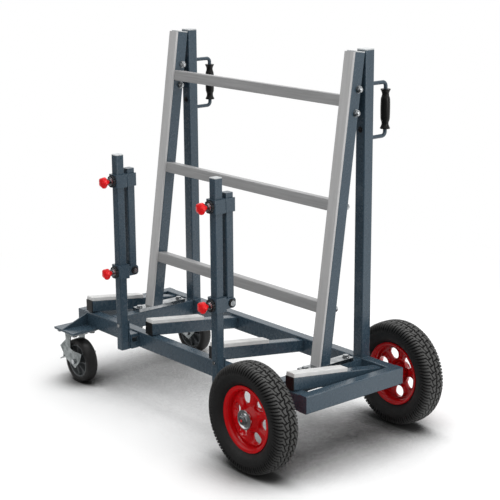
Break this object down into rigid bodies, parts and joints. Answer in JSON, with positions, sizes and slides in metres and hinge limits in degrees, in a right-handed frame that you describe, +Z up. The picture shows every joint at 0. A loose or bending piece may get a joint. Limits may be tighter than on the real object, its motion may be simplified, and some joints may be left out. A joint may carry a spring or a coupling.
{
  "type": "slab cart",
  "caption": "A-frame slab cart with sloping padded support arms, clamp posts with sliding sleeves, pneumatic wheels and braked swivel casters.",
  "frame": {"origin": "on the floor, under the middle of the cart's outline", "axes": "+X towards the pneumatic wheels, +Y towards the push handles, +Z up; slabs stand on the -Y side"},
  "size_m": [1.4612, 0.7968, 1.379],
  "materials": {
    "frame_paint": "slate blue-grey powder coat, satin",
    "leg_pad_grey": "light grey rubber strip, matte",
    "bar_grey": "mid grey coating, matte",
    "pad_white": "off-white rubber, matte",
    "cap_black": "black plastic, matte",
    "cap_grey": "light grey plastic, satin",
    "handle_steel": "slate blue-grey powder coat, satin",
    "grip_black": "black rubber, satin",
    "knob_red": "bright red moulded plastic, glossy",
    "zinc": "zinc plated steel, satin",
    "rim_red": "bright red gloss paint",
    "tyre_black": "black rubber with a block tread",
    "caster_rubber": "black solid rubber, matte",
    "caster_grey": "grey pressed steel centre, satin"
  },
  "bodies": {
    "cart": {"front_rail": "frame_paint", "back_rail": "frame_paint", "wheel_end_beam": "frame_paint", "caster_end_beam": "frame_paint", "foot_tubes": "frame_paint", "support_arms": "frame_paint", "outriggers": "frame_paint", "axle_brackets": "frame_paint", "head_plates": "frame_paint", "post_brackets": "frame_paint", "back_leg_wheel_end": "frame_paint", "front_leg_wheel_end": "frame_paint", "post_wheel_end": "frame_paint", "leg_pad_wheel_end": "leg_pad_grey", "handle_rod_wheel_end": "handle_steel", "back_leg_caster_end": "frame_paint", "front_leg_caster_end": "frame_paint", "post_caster_end": "frame_paint", "leg_pad_caster_end": "leg_pad_grey", "handle_rod_caster_end": "handle_steel", "support_pads": "pad_white", "arm_end_caps": "cap_black", "leg_caps": "cap_grey", "top_bar": "bar_grey", "middle_bar": "bar_grey", "bottom_bar": "bar_grey", "frame_bolts": "zinc", "foot_plates": "zinc", "axle": "zinc", "axle_nuts": "zinc", "caster_plates": "zinc"},
    "wheel_front": {"rim_front": "rim_red", "tyre_front": "tyre_black"},
    "caster_fork_front": {"caster_fork_front": "zinc", "caster_axle_front": "zinc"},
    "caster_wheel_front": {"caster_core_front": "caster_grey", "caster_tyre_front": "caster_rubber"},
    "brake_lever_front": {"brake_lever_front": "zinc"},
    "wheel_back": {"rim_back": "rim_red", "tyre_back": "tyre_black"},
    "caster_fork_back": {"caster_fork_back": "zinc", "caster_axle_back": "zinc"},
    "caster_wheel_back": {"caster_core_back": "caster_grey", "caster_tyre_back": "caster_rubber"},
    "brake_lever_back": {"brake_lever_back": "zinc"},
    "upper_sleeve_wheel_end": {"upper_sleeve_wheel_end": "frame_paint"},
    "upper_knob_wheel_end": {"upper_knob_wheel_end": "knob_red"},
    "lower_sleeve_wheel_end": {"lower_sleeve_wheel_end": "frame_paint", "pivot_bolt_wheel_end": "zinc"},
    "lower_knob_wheel_end": {"lower_knob_wheel_end": "knob_red"},
    "swing_arm_wheel_end": {"swing_arm_wheel_end": "frame_paint"},
    "grip_wheel_end": {"grip_wheel_end": "grip_black"},
    "upper_sleeve_caster_end": {"upper_sleeve_caster_end": "frame_paint"},
    "upper_knob_caster_end": {"upper_knob_caster_end": "knob_red"},
    "lower_sleeve_caster_end": {"lower_sleeve_caster_end": "frame_paint", "pivot_bolt_caster_end": "zinc"},
    "lower_knob_caster_end": {"lower_knob_caster_end": "knob_red"},
    "swing_arm_caster_end": {"swing_arm_caster_end": "frame_paint"},
    "grip_caster_end": {"grip_caster_end": "grip_black"}
  },
  "joints": [
    {"name": "wheel_front_spin", "type": "hinge", "parent": "cart", "child": "wheel_front", "pos_m": [0.53813, -0.349, 0.1925], "axis": [0, 1, 0], "continuous": true},
    {"name": "wheel_back_spin", "type": "hinge", "parent": "cart", "child": "wheel_back", "pos_m": [0.53813, 0.349, 0.1925], "axis": [0, 1, 0], "continuous": true},
    {"name": "caster_front_swivel", "type": "hinge", "parent": "cart", "child": "caster_fork_front", "pos_m": [-0.63387, -0.284, 0.211], "axis": [0, 0, 1], "continuous": true},
    {"name": "caster_front_roll", "type": "hinge", "parent": "caster_fork_front", "child": "caster_wheel_front", "pos_m": [-0.59988, -0.28489, 0.089], "axis": [0.0262, 0.9997, 0], "continuous": true},
    {"name": "brake_front_press", "type": "hinge", "parent": "caster_fork_front", "child": "brake_lever_front", "pos_m": [-0.68985, -0.28253, 0.13], "axis": [-0.0262, -0.9997, 0], "range_deg": [0, 12]},
    {"name": "caster_back_swivel", "type": "hinge", "parent": "cart", "child": "caster_fork_back", "pos_m": [-0.63387, 0.284, 0.211], "axis": [0, 0, 1], "continuous": true},
    {"name": "caster_back_roll", "type": "hinge", "parent": "caster_fork_back", "child": "caster_wheel_back", "pos_m": [-0.59989, 0.28519, 0.089], "axis": [-0.0349, 0.9994, 0], "continuous": true},
    {"name": "brake_back_press", "type": "hinge", "parent": "caster_fork_back", "child": "brake_lever_back", "pos_m": [-0.68984, 0.28205, 0.13], "axis": [0.0349, -0.9994, 0], "range_deg": [0, 12]},
    {"name": "upper_sleeve_wheel_end_slide", "type": "slide", "parent": "cart", "child": "upper_sleeve_wheel_end", "axis": [0, 0, 1], "range_m": [-0.11, 0.06]},
    {"name": "lower_sleeve_wheel_end_slide", "type": "slide", "parent": "cart", "child": "lower_sleeve_wheel_end", "axis": [0, 0, 1], "range_m": [-0.1, 0.1]},
    {"name": "swing_arm_wheel_end_swing", "type": "hinge", "parent": "lower_sleeve_wheel_end", "child": "swing_arm_wheel_end", "pos_m": [0.28103, -0.241, 0.519], "axis": [-1, 0, 0], "range_deg": [0, 40]},
    {"name": "upper_knob_wheel_end_turn", "type": "hinge", "parent": "upper_sleeve_wheel_end", "child": "upper_knob_wheel_end", "pos_m": [0.28103, -0.3485, 0.867], "axis": [0, -1, 0], "continuous": true},
    {"name": "lower_knob_wheel_end_turn", "type": "hinge", "parent": "lower_sleeve_wheel_end", "child": "lower_knob_wheel_end", "pos_m": [0.28103, -0.3485, 0.519], "axis": [0, -1, 0], "continuous": true},
    {"name": "upper_sleeve_caster_end_slide", "type": "slide", "parent": "cart", "child": "upper_sleeve_caster_end", "axis": [0, 0, 1], "range_m": [-0.11, 0.06]},
    {"name": "lower_sleeve_caster_end_slide", "type": "slide", "parent": "cart", "child": "lower_sleeve_caster_end", "axis": [0, 0, 1], "range_m": [-0.1, 0.1]},
    {"name": "swing_arm_caster_end_swing", "type": "hinge", "parent": "lower_sleeve_caster_end", "child": "swing_arm_caster_end", "pos_m": [-0.29877, -0.241, 0.519], "axis": [-1, 0, 0], "range_deg": [0, 40]},
    {"name": "upper_knob_caster_end_turn", "type": "hinge", "parent": "upper_sleeve_caster_end", "child": "upper_knob_caster_end", "pos_m": [-0.29877, -0.3485, 0.867], "axis": [0, -1, 0], "continuous": true},
    {"name": "lower_knob_caster_end_turn", "type": "hinge", "parent": "lower_sleeve_caster_end", "child": "lower_knob_caster_end", "pos_m": [-0.29877, -0.3485, 0.519], "axis": [0, -1, 0], "continuous": true},
    {"name": "grip_wheel_end_turn", "type": "hinge", "parent": "cart", "child": "grip_wheel_end", "pos_m": [0.48913, 0.309, 1.1615], "axis": [0, 0, 1], "continuous": true},
    {"name": "grip_caster_end_turn", "type": "hinge", "parent": "cart", "child": "grip_caster_end", "pos_m": [-0.49837, 0.309, 1.1615], "axis": [0, 0, 1], "continuous": true}
  ]
}
